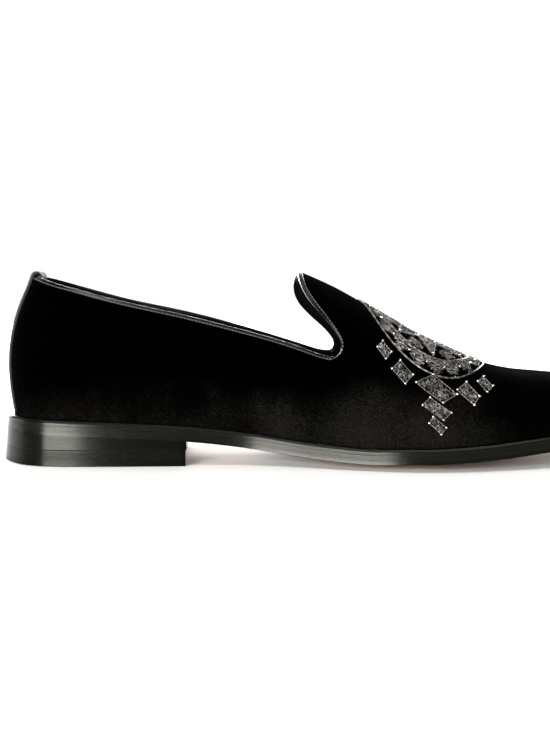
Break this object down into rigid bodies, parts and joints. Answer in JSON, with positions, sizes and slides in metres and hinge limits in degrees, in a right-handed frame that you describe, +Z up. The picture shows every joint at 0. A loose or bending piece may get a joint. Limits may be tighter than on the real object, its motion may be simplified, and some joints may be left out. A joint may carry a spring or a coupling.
{
  "type": "slipper loafer",
  "caption": "Low slip-on shoe with a whole-cut velvet upper, a bound collar and raised tongue, a thin leather sole and a low stacked heel; right shoe.",
  "frame": {"origin": "middle of the length and width, on the floor under the sole", "axes": "+X toward the toe, +Z up; the outer side of the foot is toward -Y"},
  "size_m": [0.3, 0.1023, 0.0847],
  "materials": {
    "upper_velvet": "black velvet with a short nap",
    "piping_leather": "black smooth leather, slightly glossy",
    "strip_leather": "black smooth leather, slightly glossy",
    "insole_leather": "black matt lining leather",
    "midsole_leather": "black waxed edge",
    "outsole_leather": "tan sole leather underneath, black waxed edge",
    "heel_leather": "black waxed stacked leather",
    "toplift_leather": "black waxed leather"
  },
  "bodies": {
    "root": {"upper": "upper_velvet", "topline_piping": "piping_leather", "back_strip": "strip_leather", "insole": "insole_leather", "midsole": "midsole_leather", "outsole": "outsole_leather", "heel_block": "heel_leather", "heel_toplift": "toplift_leather"}
  },
  "joints": []
}
